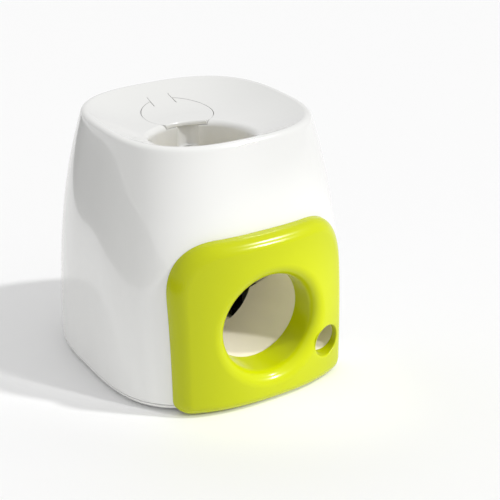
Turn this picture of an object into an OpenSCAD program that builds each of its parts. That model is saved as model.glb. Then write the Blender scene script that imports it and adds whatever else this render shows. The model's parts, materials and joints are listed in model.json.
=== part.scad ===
// Ball return and treat dispenser for a dog: a ball dropped in at the top turns a
// paddle wheel on its way down, rolls out of the front, and the wheel turns a
// pocket drum that lets a few treats slide out of the small hole beside it.
// Millimetres, +Z up, front towards -Y.

/* [Housing] */
// Height of the housing above the floor
housing_h = 180; // [170:1:200]
// Half width of the housing at its foot
base_half = 91.5; // [88:0.5:100]
// Half width that the outer wall would reach at full height
rim_half = 72.4; // [68:0.2:76]
// How late the wall starts to lean in
taper_power = 2.74; // [2.2:0.02:3.2]
// Squareness of the plan at the foot
base_squareness = 3.2; // [2.6:0.05:3.6]
// Squareness of the plan at the rim
rim_squareness = 2.76; // [2.4:0.02:3.2]
// Thickness of the outer wall
wall = 2.6; // [2:0.1:3.2]
// Radius of the rim's outer edge
rim_round = 3.2; // [2:0.1:4.5]
// Height of the parting line between housing and base
parting_z = 6; // [5:0.25:8]
// Width of the parting groove
parting_gap = 0.4; // [0.3:0.05:0.8]

/* [Top dish] */
// Depth of the dish below the rim
dish_depth = 11; // [8:0.5:13]
// Distance over which the dish falls from the rim
dish_run = 45; // [36:1:55]
// Thickness of the dish
dish_wall = 3; // [2.5:0.1:3.5]

/* [Ball way] */
// Diameter of the ball that the toy is made for
ball_d = 66.8; // [65:0.1:68]
// Clearance round the ball in the inlet and the drop tube
ball_clear = 1.6; // [1.2:0.1:2]
// Inlet centre, sideways
inlet_x = -10; // [-13:0.5:-8]
// Inlet centre, front to back
inlet_y = -26; // [-28:0.5:-25]
// Radius of the inlet's lip
lip_round = 4.5; // [3:0.5:5]
// Depth of the inlet's collar under the rim
collar_depth = 30; // [28:1:34]
// Thickness of the collar, the drop tube and the ball chute
tube_wall = 1.8; // [1.5:0.1:2.2]
// Height of the lower edge of the drop tube
drop_end_z = 62; // [60:1:66]
// Height of the outlet's centre
outlet_z = 57; // [56:0.5:59]
// Clearance round the ball in the outlet
outlet_clear = 1.1; // [0.8:0.1:1.6]
// Rise of the ball chute from the outlet to the drop tube
chute_rise = 3; // [2:0.5:5]

/* [Front panel] */
// Half width of the panel
panel_half = 66.3; // [64:0.1:68]
// Height of the panel's top edge
panel_top = 121; // [118:0.5:124]
// Height of the panel's lower edge
panel_foot = 0.8; // [0.6:0.1:1.5]
// Width of each top corner's curve
corner_w = 34; // [30:1:38]
// Height of each top corner's curve
corner_h = 40; // [34:1:44]
// Radius of each lower corner
foot_corner = 9; // [6:0.5:12]
// How far the panel stands in front of the housing
panel_proud = 12.4; // [11:0.2:14]
// Squareness of the panel's front in plan
panel_squareness = 2.46; // [2.3:0.02:2.7]
// Radius of the panel's edges
panel_edge = 8; // [6:0.5:9]
// Thickness of the panel
panel_wall = 3; // [2.4:0.1:3.4]
// Radius of the lip round the outlet
outlet_lip = 10; // [8:0.5:11]
// Where the outlet's collar ends, behind the housing's centre line
collar_end = 75; // [72:0.5:78]

/* [Treat way] */
// Treat outlet centre, sideways
treat_x = 46; // [45.5:0.25:47]
// Treat outlet centre, height
treat_z = 31; // [30:0.5:33]
// Radius of the treat outlet
treat_r = 11.2; // [10.5:0.1:11.6]
// Wall of the treat chute
treat_wall = 1.2; // [1:0.1:1.4]
// Radius of the treat drum
drum_r = 17; // [15.5:0.25:17.5]
// Length of the treat drum
drum_len = 20.6; // [18:0.2:21]
// Radius of each drum pocket
pocket_r = 8; // [6:0.25:8.5]
// Space between drum and casing
drum_gap = 0.4; // [0.3:0.05:0.6]
// Wall of the treat hopper
hopper_wall = 1.6; // [1.2:0.1:2]

/* [Lid] */
// Lid centre, front to back
lid_y = 26; // [25:0.5:27]
// Radius of the lid
lid_r = 25.4; // [24.5:0.1:26]
// Thickness of the lid
lid_t = 3; // [2.5:0.1:3.2]
// Half width of the hinge tab
tab_half = 8.4; // [7.5:0.1:9]
// How far the tab reaches behind the hinge axis
tab_back = 1.5; // [1.2:0.1:1.8]
// Hinge axis, front to back
hinge_y = 54; // [53:0.5:55]
// Gap round the lid
lid_gap = 0.4; // [0.3:0.05:0.6]
// Radius of the hinge pin
hinge_pin_r = 0.8; // [0.7:0.05:0.85]
// Depth of the hinge pin's middle under the dish
hinge_drop = 1.7; // [1.65:0.05:1.8]

/* [Paddle wheel] */
// Axle height
axle_z = 45; // [44:0.5:46]
// Axle place, front to back
axle_y = 28; // [28:0.5:30]
// Radius of the paddles
paddle_r = 38; // [35:0.5:38.5]
// Width of the paddles
paddle_w = 28; // [22:1:30]
// Thickness of the paddles
paddle_t = 2.4; // [1.8:0.1:3]
// Radius of the axles
axle_r = 3; // [2.5:0.1:3.2]
// Radial running clearance of the axles and pins
run_clear = 0.05; // [0.03:0.01:0.08]

/* [Gears] */
// Gear module
gear_m = 1.5; // [1.5:0.25:1.5]
// Teeth of the drive gear and the drum gear
gear_teeth = 24; // [24:1:24]
// Teeth of the idler gear
idler_teeth = 16; // [16:1:16]
// Width of the gears
gear_w = 6; // [4:0.5:7]

/* [Feet and screws] */
// Radius of the feet
foot_r = 8; // [6:0.5:9]
// Height of the base above the floor
foot_h = 1.5; // [1.2:0.1:2]
// Thickness of the base
base_t = 2.5; // [2:0.1:3]
// Radius of the self-tapping screws
screw_r = 1.2; // [1:0.05:1.4]

/* [Hidden] */

white = [0.95, 0.95, 0.93];
cream = [0.93, 0.91, 0.86];
lime = [0.80, 0.88, 0.07];
grey = [0.62, 0.63, 0.64];
steel = [0.72, 0.73, 0.75];
acetal = [0.86, 0.85, 0.80];
black = [0.10, 0.10, 0.10];

around = 72;               // points round the housing
fine = 96;                 // $fn of bores, pins and tubes
slack = 0.2;               // space between pieces that are fixed to each other
near = 0.3;                // space between a moving piece and its seat

ridge_half = half_at(housing_h - rim_round) - rim_round;
rim_n = rim_squareness;
throat_r = ball_d / 2 + ball_clear;
tube_r = throat_r + tube_wall;
outlet_r = ball_d / 2 + outlet_clear;
collar_z = housing_h - collar_depth;
collar_top = housing_h - dish_depth - lip_round - 1.5;
shell_z = parting_z + parting_gap / 2;
// heights of the wall's rings, as steps down from the rim of a 180 mm wall
wall_rings = concat([shell_z], [for (z = [30, 55, 78, 98, 115, 130, 143, 154, 163, 170]) z * housing_h / 180]);
base_top = parting_z - parting_gap / 2;
floor_z = foot_h + base_t;
front_y = half_at(0) + panel_proud;
frame_shift = (front_y - base_half) / 2;

lid_under = housing_h - dish_depth - lid_t;
hinge_z = dish_z(0, hinge_y) - hinge_drop;
hinge_block = 4;
hinge_x = tab_half + lid_gap + hinge_block;
tab_swing = sqrt(hinge_drop * hinge_drop + tab_back * tab_back);
notch_at = [inlet_x + 6.5, inlet_y + throat_r - 7.8];
notch_r = 10;
notch_depth = 29.4;
notch_z = housing_h - notch_depth;

drive_r = gear_m * gear_teeth / 2;
idler_r = gear_m * idler_teeth / 2;
idler_z = axle_z + drive_r + idler_r;
drum_z = idler_z + idler_r + drive_r;

plate_t = 3;
frame_x = inlet_x + 58;
gear_x = frame_x + plate_t + 1;
bracket_x = inlet_x - paddle_w / 2 - 9;
case_x1 = frame_x - near;
case_wall = 2.4;
drum_x1 = case_x1 - case_wall - near * 2;
drum_x0 = drum_x1 - drum_len;
case_x0 = drum_x0 - near * 2;
cover_x0 = case_x0 - case_wall;
case_r = drum_r + drum_gap;
case_half = case_r + 2;
ear_screw = max(case_half + 3.2, drive_r + gear_m + 2.9);
ear_half = ear_screw + 2.8;
case_top = drum_z + case_r + 2.6;
case_foot = drum_z - case_r - 1.6;
mouth_half = 7;
drum_mid = (drum_x0 + drum_x1) / 2;
bush_r = axle_r + 1.45;

chute_in = treat_r;
chute_out = chute_in + treat_wall;
window_r = outlet_r + tube_wall + 2.4;
window_z = treat_z - chute_out - 0.9;
chute_front = [treat_x, -(body_y(treat_x, treat_z) - 0.2), treat_z];
chute_end = inlet_y + 8;
chute_bend = [treat_x + 2, -72, treat_z + 6];
chute_back = [frame_x - chute_out - 1.8, axle_y, case_foot - 2];

post = base_half - 29.5;   // corner posts, from the middle
frame_feet = [[frame_x - 6, axle_y + 8], [frame_x - 6, axle_y - 6]];
bracket_feet = [[bracket_x - 7, axle_y + 8], [bracket_x - 7, axle_y - 6]];
chute_feet = [[inlet_x - 14, -44], [inlet_x + 18, -44]];
panel_marks = [[-52, 13], [52, 13], [-44, 100], [44, 100]];
hopper_marks = [[-36, 34], [36, 34]];
foot_marks = [for (a = [-1, 1]) for (b = [-1, 1]) [a * (post - 12), b * (post - 4)]];

// ---- shared shapes ----

function mix(a, b, t) = a + (b - a) * t;
function hinge_knuckle() = hinge_pin_r + 0.75;

// Half width and squareness of the housing's plan at height z
function half_at(z) = base_half - (base_half - rim_half) * pow(max(0, z) / housing_h, taper_power);
function square_at(z) = mix(base_squareness, rim_squareness, z / housing_h);

// Distance of the superellipse of half width a from its centre, in direction t
function super_r(a, n, t) = a / pow(pow(abs(cos(t)), n) + pow(abs(sin(t)), n), 1 / n);
function super_ring(a, n, z) =
    [for (i = [0:around - 1]) let (t = 360 * i / around, r = super_r(a, n, t))
        [r * cos(t), r * sin(t), z]];
function circle_ring(c, r, z) =
    [for (i = [0:around - 1]) let (t = 360 * i / around)
        [c[0] + r * cos(t), c[1] + r * sin(t), z]];

// Front of a superellipse wall at sideways place x
function front_of(a, n, x) = a * pow(max(0, 1 - pow(min(1, abs(x) / a), n)), 1 / n);
function body_y(x, z) = front_of(half_at(z), square_at(z), x);
function panel_y(x, z) = front_of(half_at(z) + panel_proud, panel_squareness, x);

// Height of the dish: it falls from the ridge along a parabola to a level floor
function dish_z(x, y) =
    let (rho = pow(pow(abs(x), rim_n) + pow(abs(y), rim_n), 1 / rim_n))
    let (u = min(1, max(0, ridge_half - rho) / dish_run))
    housing_h - dish_depth * (1 - pow(1 - u, 2));

// Ring between the rim and the inlet, lowered by drop
function dish_ring(rim, r, s, drop) =
    [for (i = [0:around - 1])
        let (t = 360 * i / around, q = super_r(rim, rim_n, t))
        let (x = mix(q * cos(t), inlet_x + r * cos(t), s))
        let (y = mix(q * sin(t), inlet_y + r * sin(t), s))
        [x, y, dish_z(x, y) - drop]];

// Closed skin over rings that come back to the first one
module ring_skin(rings) {
    n = len(rings[0]);
    m = len(rings);
    polyhedron(
        points = [for (r = rings) for (p = r) p],
        faces = [for (k = [0:m - 1]) for (i = [0:n - 1])
            let (a = k * n + i, b = k * n + (i + 1) % n)
            let (d = ((k + 1) % m) * n + i, c = ((k + 1) % m) * n + (i + 1) % n)
            each [[a, d, c], [a, c, b]]],
        convexity = 12);
}

// Closed skin over rings with a flat cap at each end
module ring_stack(rings) {
    n = len(rings[0]);
    m = len(rings);
    polyhedron(
        points = [for (r = rings) for (p = r) p],
        faces = concat(
            [[for (i = [0:n - 1]) i]],
            [[for (i = [0:n - 1]) m * n - 1 - i]],
            [for (k = [0:m - 2]) for (i = [0:n - 1])
                let (a = k * n + i, b = k * n + (i + 1) % n)
                each [[a, a + n, b + n], [a, b + n, b]]]),
        convexity = 8);
}

module seated() {
    translate([0, frame_shift, 0]) children();
}

// Cylinder along X from x0 to x1 at y, z
module rod_x(r, x0, x1, y, z) {
    translate([x0, y, z]) rotate([0, 90, 0]) cylinder(r = r, h = x1 - x0, $fn = fine);
}

// Cylinder along Y from y0 to y1 at x, z
module rod_y(r, y0, y1, x, z) {
    translate([x, y0, z]) rotate([-90, 0, 0]) cylinder(r = r, h = y1 - y0, $fn = fine);
}

// Round tube or rod between two points
module rod_between(a, b, r) {
    v = b - a;
    len = norm(v);
    translate(a) rotate([0, acos(v[2] / len), atan2(v[1], v[0])]) cylinder(r = r, h = len, $fn = fine);
}

module block(x0, x1, y0, y1, z0, z1) {
    translate([x0, y0, z0]) cube([x1 - x0, y1 - y0, z1 - z0]);
}

// ---- housing ----

function shell_rings() = concat(
    [for (z = wall_rings) super_ring(half_at(z), square_at(z), z)],
    [for (a = [0, 30, 60])
        super_ring(half_at(housing_h - rim_round) - rim_round * (1 - cos(a)), rim_n,
            housing_h - rim_round + rim_round * sin(a))],
    [for (s = [0, 0.07, 0.16, 0.28, 0.42, 0.58, 0.78, 1])
        dish_ring(ridge_half, throat_r + lip_round, s, 0)],
    [for (a = [25, 50, 70, 90])
        dish_ring(ridge_half, throat_r + lip_round * (1 - sin(a)), 1, lip_round * (1 - cos(a)))],
    [circle_ring([inlet_x, inlet_y], throat_r, collar_top)],
    [circle_ring([inlet_x, inlet_y], tube_r, collar_top)],
    [for (s = [1, 0.75, 0.5, 0.3, 0.15, 0.05, 0])
        dish_ring(ridge_half - 1, tube_r, s, dish_wall)],
    [for (k = [len(wall_rings) - 1:-1:0]) let (z = wall_rings[k])
        super_ring(half_at(z) - wall, square_at(z), z)]);

// Outline of the lid and its hinge tab with a margin round them
module lid_plan(grow, back) {
    translate([0, lid_y]) circle(r = lid_r + grow, $fn = fine);
    translate([-tab_half - grow, lid_y]) square([2 * (tab_half + grow), hinge_y + back - lid_y]);
}

// Finger recess in the inlet's wall, under the front edge of the lid
module finger_notch(grow, z0, z1) {
    translate([notch_at[0], notch_at[1], z0]) cylinder(r = notch_r + grow, h = z1 - z0, $fn = fine);
}

// Wall of the finger recess between two heights
module finger_wall(z0, z1) {
    difference() {
        finger_notch(1.6, z0, z1);
        translate([inlet_x, inlet_y, 0]) cylinder(r = throat_r, h = housing_h, $fn = fine);
    }
}

module corner_post(grow) {
    for (k = [0:3]) rotate(90 * k) translate([post, post, 0]) children();
}

// From a corner post out to the middle of the wall
function post_reach(z) = super_r(half_at(z), square_at(z), 45) - post * sqrt(2) - wall / 2;

module housing_shell() {
    pad_r = 4.4;
    post_r = 4.5;
    post_top = 26;
    color(white) seated() difference() {
        union() {
            ring_skin(shell_rings());
            finger_wall(collar_top, lid_under - near);
            corner_post() difference() {
                union() {
                    translate([0, 0, shell_z]) cylinder(r = post_r, h = post_top - shell_z, $fn = 48);
                    rotate(45) block(3, post_reach(post_top), -1, 1, shell_z + 3, post_top);
                }
            }
            for (m = panel_marks)
                rod_y(pad_r, -(body_y(m[0], m[1]) - 1), -(body_y(m[0], m[1]) - wall - 5), m[0], m[1]);
            for (m = hopper_marks)
                translate([m[0], m[1], collar_z + 8.5])
                    cylinder(r = 3.4, h = dish_z(m[0], m[1]) - 1 - collar_z - 8.5, $fn = 48);
            // blocks under the dish that carry the ends of the hinge pin
            for (x = [-hinge_x, tab_half + lid_gap])
                block(x, x + hinge_block, hinge_y - 2.2, hinge_y + 2.2, hinge_z - 2.2, hinge_z + 0.4);
        }
        // lid opening and the room that the tab swings in
        translate([0, 0, lid_under - near]) linear_extrude(40) lid_plan(lid_gap, 0);
        rod_x(tab_swing + near, -tab_half - lid_gap, tab_half + lid_gap, hinge_y, hinge_z);
        finger_notch(0, notch_z, lid_under);
        rod_x(hinge_pin_r + 0.02, -hinge_x - 0.5, hinge_x + 0.5, hinge_y, hinge_z);
        // window behind the front panel, for the ball chute and the treat chute
        block(-window_r, window_r, -100, -68, window_z, outlet_z + window_r);
        block(0, treat_x + chute_out + 2.6, -100, -68, window_z, outlet_z);
        // screw holes
        corner_post() translate([0, 0, 0]) cylinder(r = screw_r + 0.05, h = 22, $fn = 24);
        for (m = panel_marks) rod_y(screw_r + 0.4, -100, -60, m[0], m[1]);
        for (m = hopper_marks)
            translate([m[0], m[1], collar_z]) cylinder(r = screw_r + 0.05, h = 14, $fn = 24);
    }
}

// Lower part of the inlet's collar, with the bottom of the finger recess
module inlet_collar() {
    color(white) seated() difference() {
        union() {
            translate([inlet_x, inlet_y, collar_z]) cylinder(r = tube_r, h = collar_top - collar_z, $fn = fine);
            finger_wall(notch_z - 1.6, collar_top);
        }
        translate([inlet_x, inlet_y, 0]) cylinder(r = throat_r, h = housing_h, $fn = fine);
        finger_notch(0, notch_z, lid_under);
    }
}

module base_plate() {
    color(white) seated() difference() {
        union() {
            ring_stack([for (p = [[-5, 0], [-3.2, 0.4], [-1.6, 1.5], [-0.5, 3], [-0.15, base_top - foot_h],
                    [-wall - near, base_top - foot_h], [-wall - near, base_top - foot_h + 2.4],
                    [-wall - near - 2, base_top - foot_h + 2.4], [-wall - near - 2, base_t]])
                super_ring(base_half + p[0], base_squareness, foot_h + p[1])]);
        }
        for (m = foot_marks)
            translate([m[0], m[1], 0]) cylinder(r = foot_r + slack, h = foot_h + 0.9, $fn = fine);
        corner_post() base_hole();
        for (m = concat(frame_feet, bracket_feet, chute_feet))
            translate([m[0], m[1], 0]) base_hole();
        // room for the corner posts
        corner_post() translate([0, 0, base_top + 0.2]) cylinder(r = 6, h = 10, $fn = 48);
        for (k = [0:3]) rotate(45 + 90 * k) block(post * 1.4, 110, -1.8, 1.8, base_top + 0.2, 20);
    }
}

module base_hole() {
    cylinder(r = 3.2, h = foot_h + 1.4, $fn = 32);
    cylinder(r = screw_r + 0.4, h = 20, $fn = 24);
}

// ---- front panel ----

// Outline of the panel, set in by e: straight sides, soft top corners, round lower corners
function panel_outline(e) = concat(
    [for (z = [panel_foot + foot_corner, 30, 50, 66]) [panel_half - e, z]],
    [for (a = [0:7.5:82.5]) top_corner(e, a, 1)],
    [for (t = [1, 0.5, 0, -0.5, -1]) [t * (panel_half - corner_w), panel_top - e]],
    [for (a = [82.5:-7.5:0]) top_corner(e, a, -1)],
    [for (z = [66, 50, 30, panel_foot + foot_corner]) [-(panel_half - e), z]],
    [for (a = [15:15:75]) foot_arc(e, a, -1)],
    [for (t = [-1, -0.72, -0.45, -0.2, 0, 0.2, 0.45, 0.72, 1])
        [t * (panel_half - foot_corner), panel_foot + e]],
    [for (a = [75:-15:15]) foot_arc(e, a, 1)]);
function top_corner(e, a, side) =
    let (n = 2.4, q = pow(pow(cos(a), n) + pow(sin(a), n), 1 / n))
    [side * (panel_half - corner_w + (corner_w - e) * cos(a) / q),
        panel_top - corner_h + (corner_h - e) * sin(a) / q];
function foot_arc(e, a, side) =
    [side * (panel_half - foot_corner + (foot_corner - e) * cos(a)),
        panel_foot + foot_corner - (foot_corner - e) * sin(a)];

// Ring on the panel's outline set in by e, at a depth behind its front
function edge_ring(e, depth) =
    [for (p = panel_outline(e))
        let (back = body_y(p[0], p[1]) + slack)
        [p[0], -max(panel_y(p[0], p[1]) - depth, back), p[1]]];
function back_ring(e) =
    [for (p = panel_outline(e)) [p[0], -(body_y(p[0], p[1]) + slack), p[1]]];
// Ring between the outline set in by e and a circle round the outlet
function face_ring(e, r, s, depth) =
    [for (p = panel_outline(e))
        let (t = atan2(p[1] - outlet_z, p[0]))
        let (x = mix(p[0], r * cos(t), s), z = mix(p[1], outlet_z + r * sin(t), s))
        [x, -(panel_y(x, z) - depth), z]];
function bore_ring(r, y) =
    [for (p = panel_outline(0))
        let (t = atan2(p[1] - outlet_z, p[0]))
        [r * cos(t), -y, outlet_z + r * sin(t)]];

function panel_rings() = concat(
    [back_ring(0)],
    [for (a = [0, 22, 45, 67]) edge_ring(panel_edge * (1 - cos(a)), panel_edge * (1 - sin(a)))],
    [for (s = [0, 0.35, 0.7, 1]) face_ring(panel_edge, outlet_r + outlet_lip, s, 0)],
    [for (a = [20, 40, 60, 75, 90])
        face_ring(panel_edge, outlet_r + outlet_lip * (1 - sin(a)), 1, outlet_lip * (1 - cos(a)))],
    [bore_ring(outlet_r - 0.3, collar_end)],
    [bore_ring(outlet_r - 0.3 + tube_wall, collar_end)],
    [bore_ring(outlet_r - 0.3 + tube_wall, 88.5)],
    [for (s = [1, 0.55, 0]) face_ring(panel_edge + 0.5, outlet_r + outlet_lip + 1, s, panel_wall)],
    [edge_ring(panel_wall, panel_edge - 1.5)],
    [back_ring(panel_wall)]);

module front_panel() {
    color(lime) seated() difference() {
        union() {
            ring_skin(panel_rings());
            for (m = panel_marks)
                rod_y(3.6, -(panel_y(m[0], m[1]) - 2.5), -(body_y(abs(m[0]) - 3.6, m[1]) + slack), m[0], m[1]);
            treat_boss();
        }
        rod_y(treat_r, -120, -80, treat_x, treat_z);
        for (m = panel_marks)
            rod_y(screw_r + 0.05, -(panel_y(m[0], m[1]) - 2.4), -70, m[0], m[1]);
    }
}

// Collar of the treat outlet, from the chute to the skin of the panel
module treat_boss() {
    ring_skin([for (p = [[2, 0], [2, 1], [-0.5, 1], [-0.5, 0]])
        [for (i = [0:around - 1])
            let (t = 360 * i / around, r = treat_r + p[0])
            let (x = treat_x + r * cos(t), z = treat_z + r * sin(t))
            [x, p[1] > 0 ? -(panel_y(x, z) - 2.2) : chute_front[1] - slack, z]]]);
}

// ---- ball way ----

// Solid along the ball's run from the outlet to the drop tube
module ball_run(r, y0, y1) {
    run = [for (y = [y0, y1]) let (s = (collar_end + y) / (collar_end - 20)) [inlet_x * s, y, outlet_z + chute_rise * s]];
    ring_stack([for (p = [run[1], run[0]])
        [for (i = [0:around - 1]) let (t = 360 * i / around)
            [p[0] + r * cos(t), p[1], p[2] + r * sin(t)]]]);
}

module drop_tube() {
    window_half = paddle_w / 2 + 2.5;
    color(cream) seated() difference() {
        union() {
            translate([inlet_x, inlet_y, drop_end_z])
                cylinder(r = tube_r, h = collar_z - slack - drop_end_z, $fn = fine);
            translate([inlet_x, inlet_y, collar_z - 6])
                cylinder(r = tube_r + slack + 1.6, h = 12, $fn = fine);
        }
        translate([inlet_x, inlet_y, 0]) cylinder(r = throat_r, h = housing_h, $fn = fine);
        translate([inlet_x, inlet_y, collar_z - slack])
            cylinder(r = tube_r + slack, h = 40, $fn = fine);
        ball_run(outlet_r + tube_wall + 0.5, -80, chute_end + 0.5);
        block(inlet_x - window_half, inlet_x + window_half, 0, 20, 0, axle_z + paddle_r);
        finger_notch(1.8, notch_z - 1.8, housing_h);
    }
}

module ball_chute() {
    chute_r = outlet_r + 0.3;
    color(cream) seated() difference() {
        union() {
            ball_run(chute_r + tube_wall - 0.2, -collar_end + slack, chute_end);
            for (m = chute_feet) translate([m[0], m[1], floor_z]) cylinder(r = 4, h = 26, $fn = 48);
        }
        ball_run(chute_r, -collar_end - 5, 0);
        // open top under the drop tube
        translate([inlet_x, inlet_y, outlet_z]) cylinder(r = throat_r, h = 80, $fn = fine);
        // the walls stop before the floor does, under a slanted top edge
        translate([-70, 0, 0]) rotate([90, 0, 90]) linear_extrude(height = 140) polygon([
            [inlet_y - 4, outlet_z - 29], [0, outlet_z - 29], [0, outlet_z + 83], [inlet_y - throat_r, outlet_z + 83],
            [inlet_y - throat_r, outlet_z + 18.9], [inlet_y - 4, outlet_z - 7.5]]);
        for (m = chute_feet) translate([m[0], m[1], 0]) cylinder(r = screw_r + 0.05, h = floor_z + 8, $fn = 24);
    }
}

// ---- treat way ----

module hopper_hull(grow, z0, z1, top_z) {
    hull() {
        block(-21 - grow, 21 + grow, 19 - grow, 47 + grow, z1, top_z);
        block(drum_mid - mouth_half - 1 - grow, drum_mid + mouth_half + 1 + grow,
            axle_y - mouth_half - 1 - grow, axle_y + mouth_half + 1 + grow, z0, z0 + 1);
    }
}

module treat_hopper() {
    ear_z = collar_z + 6.3;
    flange_top = lid_under - near;
    bend_z = collar_z - 2;
    color(cream) seated() difference() {
        union() {
            hopper_hull(hopper_wall, case_top + slack, bend_z, flange_top);
            intersection() {
                block(-30, 30, 19 - hopper_wall, 50.5, flange_top - 2, flange_top);
                translate([0, lid_y, 0]) cylinder(r = 30, h = housing_h, $fn = fine);
            }
            block(drum_mid - 12, drum_mid + 12, axle_y - 12, axle_y + 12, case_top + slack, case_top + slack + 2);
            for (s = [-1, 1])
                block(s > 0 ? 21 : -hopper_marks[1][0] - 4, s > 0 ? hopper_marks[1][0] + 4 : -21,
                    hopper_marks[0][1] - 4, hopper_marks[0][1] + 4, ear_z, ear_z + 2);
        }
        hopper_hull(0, case_top - 0.5, bend_z, flange_top + 1);
        for (m = hopper_marks) translate([m[0], m[1], collar_z - 10]) cylinder(r = screw_r + 0.4, h = 20, $fn = 24);
    }
}

module treat_lid() {
    grid_x = 18;
    grid_y = 22;
    x0 = -lid_r - 1;
    y0 = lid_y - lid_r - 1;
    dx = 2 * (lid_r + 1) / grid_x;
    dy = (hinge_y + tab_back + 1 - y0) / grid_y;
    row = grid_x + 1;
    count = row * (grid_y + 1);
    sheet = [for (drop = [lid_t, 0]) for (j = [0:grid_y]) for (i = [0:grid_x])
        let (x = x0 + i * dx, y = y0 + j * dy) [x, y, dish_z(x, y) - drop]];
    color(white) seated() difference() {
        union() {
            difference() {
                intersection() {
                    polyhedron(points = sheet, convexity = 6, faces = concat(
                        [for (j = [0:grid_y - 1]) for (i = [0:grid_x - 1]) let (a = j * row + i)
                            each [[a, a + 1, a + row + 1], [a, a + row + 1, a + row]]],
                        [for (j = [0:grid_y - 1]) for (i = [0:grid_x - 1]) let (a = count + j * row + i)
                            each [[a, a + row + 1, a + 1], [a, a + row, a + row + 1]]],
                        [for (i = [0:grid_x - 1]) each [[i, count + i + 1, i + 1], [i, count + i, count + i + 1]]],
                        [for (i = [0:grid_x - 1]) let (a = grid_y * row + i)
                            each [[a, a + 1, count + a + 1], [a, count + a + 1, count + a]]],
                        [for (j = [0:grid_y - 1]) let (a = j * row)
                            each [[a, a + row, count + a + row], [a, count + a + row, count + a]]],
                        [for (j = [0:grid_y - 1]) let (a = j * row + grid_x)
                            each [[a, count + a + row, a + row], [a, count + a, count + a + row]]]));
                    translate([0, 0, 100]) linear_extrude(100) lid_plan(0, tab_back + 0.5);
                }
                translate([inlet_x, inlet_y, 0]) cylinder(r = throat_r + near, h = 300, $fn = fine);
                difference() {
                    block(-30, 30, hinge_y, hinge_y + 20, 100, 200);
                    rod_x(tab_swing, -31, 31, hinge_y, hinge_z);
                }
                // slits beside the hinge tab
                for (s = [-1, 1])
                    block(s * (tab_half + 0.4) - 0.4, s * (tab_half + 0.4) + 0.4, 43, 60, 0, 300);
            }
            rod_x(hinge_knuckle(), -tab_half, tab_half, hinge_y, hinge_z);
        }
        rod_x(hinge_pin_r + run_clear, -20, 20, hinge_y, hinge_z);
    }
}

module hinge_pin() {
    color(steel) seated() {
        rod_x(hinge_pin_r, -hinge_x + 0.3, hinge_x - 0.3, hinge_y, hinge_z);
    }
}

module metering_case() {
    color(acetal) seated() difference() {
        union() {
            block(case_x0, case_x1, axle_y - case_half, axle_y + case_half, case_foot, case_top);
            block(case_x1 - 8, case_x1, axle_y - ear_half, axle_y + ear_half, drum_z - 5, drum_z + 5);
        }
        for (s = [-1, 1]) rod_x(screw_r + 0.05, case_x1 - 7, case_x1 + 1, axle_y + s * ear_screw, drum_z);
        rod_x(case_r, case_x0 - 1, case_x1 - case_wall, axle_y, drum_z);
        rod_x(axle_r + 1, case_x0 - 1, case_x1 + 1, axle_y, drum_z);
        for (z = [drum_z + 8, case_foot - 1])
            block(drum_mid - mouth_half, drum_mid + mouth_half, axle_y - mouth_half, axle_y + mouth_half,
                z, z + 12);
        for (m = cover_marks()) rod_x(screw_r + 0.05, case_x0 - 1, case_x0 + 9, m[0], m[1]);
    }
}

function cover_marks() =
    [for (s = [[1, 1], [-1, 1], [1, -1], [-1, -1]])
        [axle_y + s[0] * (case_half - 3), drum_z + s[1] * (case_half - 3)]];

module metering_cover() {
    color(acetal) seated() difference() {
        block(cover_x0, case_x0 - 0.1, axle_y - case_half, axle_y + case_half, case_foot, case_top);
        rod_x(bush_r + 0.03, cover_x0 - 1, case_x0 + 1, axle_y, drum_z);
        for (m = cover_marks()) rod_x(screw_r + 0.3, cover_x0 - 1, case_x0 + 1, m[0], m[1]);
    }
}

module cover_screws() {
    color(steel) seated() for (m = cover_marks()) {
        rod_x(2.4, cover_x0 - 1.6, cover_x0 - 0.05, m[0], m[1]);
        rod_x(screw_r, cover_x0 - 0.1, case_x0 + 7, m[0], m[1]);
    }
}

module case_screws() {
    color(steel) seated() for (s = [-1, 1]) {
        rod_x(2.2, frame_x + plate_t + 0.05, frame_x + plate_t + 1.6, axle_y + s * ear_screw, drum_z);
        rod_x(screw_r, case_x1 - 6, frame_x + plate_t + 0.1, axle_y + s * ear_screw, drum_z);
    }
}

module treat_drum() {
    color(lime) seated() difference() {
        rod_x(drum_r, drum_x0, drum_x1, axle_y, drum_z);
        rod_x(axle_r + 0.02, drum_x0 - 1, drum_x1 + 1, axle_y, drum_z);
        for (a = [0:90:270])
            translate([0, axle_y, drum_z]) rotate([a, 0, 0])
                rod_x(pocket_r, drum_x0 + 2.4, drum_x1 - 2.4, 0, drum_r - 1);
    }
}

module drum_shaft() {
    color(steel) seated() rod_x(axle_r, cover_x0 - 3, gear_x + gear_w + 3, axle_y, drum_z);
}

// Bent run of the treat chute, from the outlet up to the drum
module treat_run(r, front, back) {
    rod_between(chute_front + (chute_front - chute_bend) * front, chute_bend, r);
    rod_between(chute_bend, chute_back + (chute_back - chute_bend) * back, r);
    translate(chute_bend) sphere(r = r + 0.02, $fn = fine);
}

module treat_chute() {
    cut_z = case_foot - near;
    color(cream) seated() difference() {
        union() {
            treat_run(chute_out, 1, 0.2);
            for (s = [-1, 1])
                block(drum_mid + s * 8 - 3, drum_mid + s * 8 + 3, axle_y + 14, axle_y + 18, cut_z - 9, cut_z);
        }
        difference() {
            treat_run(chute_in, 2, 0.2);
            block(0, 80, axle_y + 9.5, 90, 0, 200);
        }
        block(0, 90, -160, chute_front[1], 0, 90);
        block(-20, 90, 4, 90, cut_z, 140);
        block(0, 90, axle_y + 18, 90, 0, 140);
    }
}

// ---- paddle wheel and gears ----

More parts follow.
